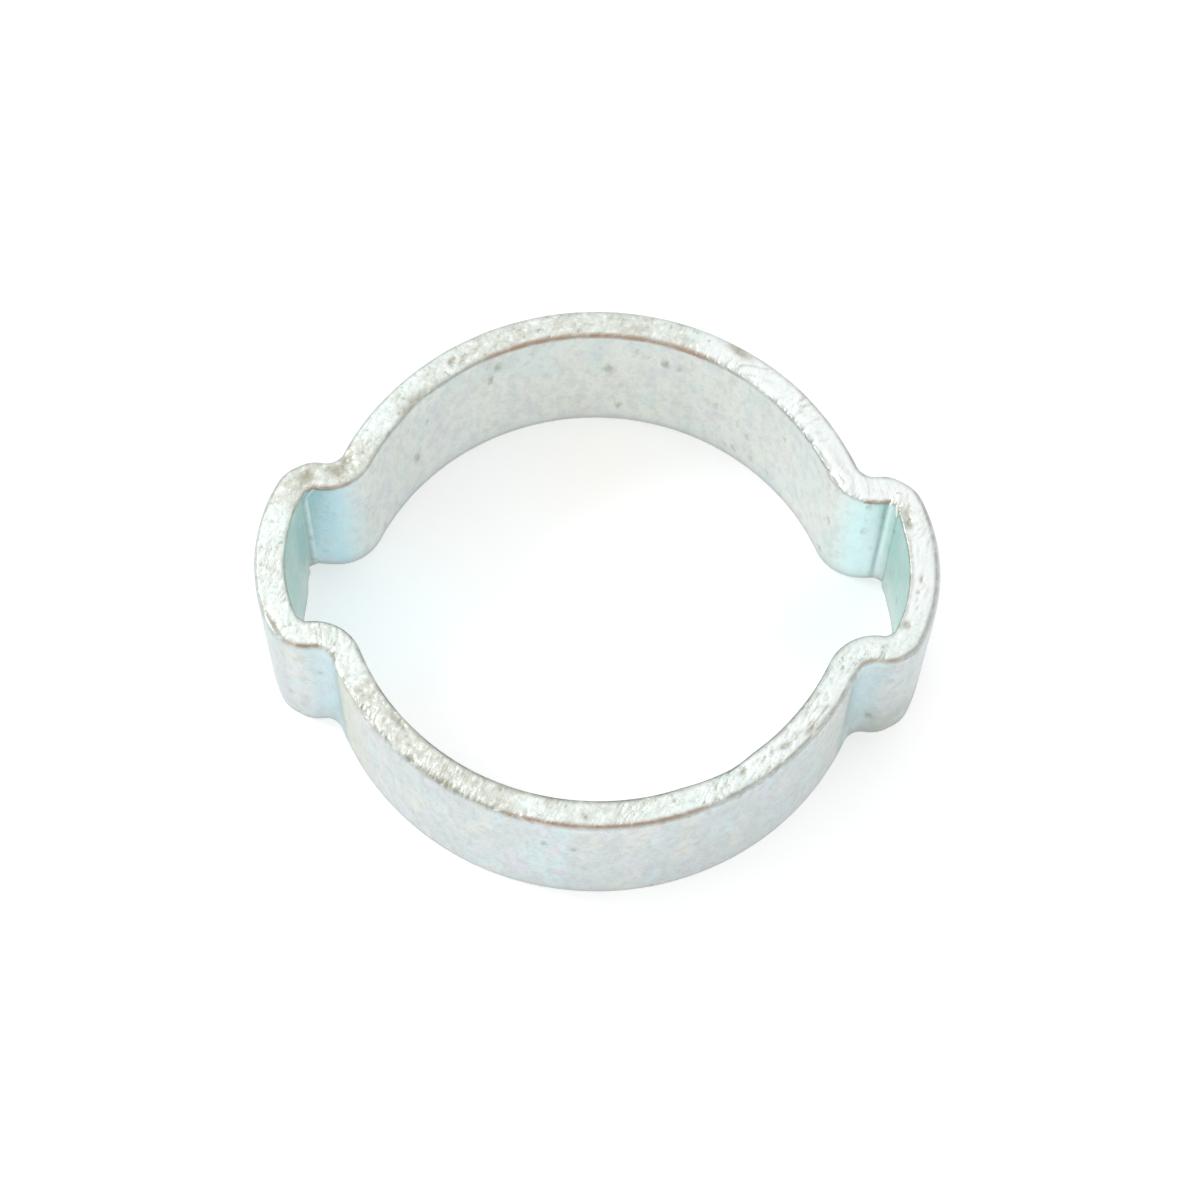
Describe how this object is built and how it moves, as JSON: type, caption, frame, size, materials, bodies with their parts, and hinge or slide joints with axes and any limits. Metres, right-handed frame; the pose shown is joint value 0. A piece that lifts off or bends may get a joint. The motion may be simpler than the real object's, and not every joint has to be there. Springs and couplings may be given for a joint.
{
  "type": "ear hose clamp",
  "caption": "One-piece pinch clamp for hose: a closed zinc-plated steel band with opposed ears that are squeezed to shrink its bore.",
  "frame": {"origin": "middle of the bottom rim, on the axis of the bore", "axes": "+Z along the bore, +X through the crown of one ear, +Y through the middle of a gripping arc"},
  "size_m": [0.0246, 0.0202, 0.0068],
  "materials": {
    "zinc_plate": "bright zinc plate with a pale blue passivation, satin, on tumbled steel"
  },
  "bodies": {
    "root": {"clamp_band": "zinc_plate"}
  },
  "joints": []
}
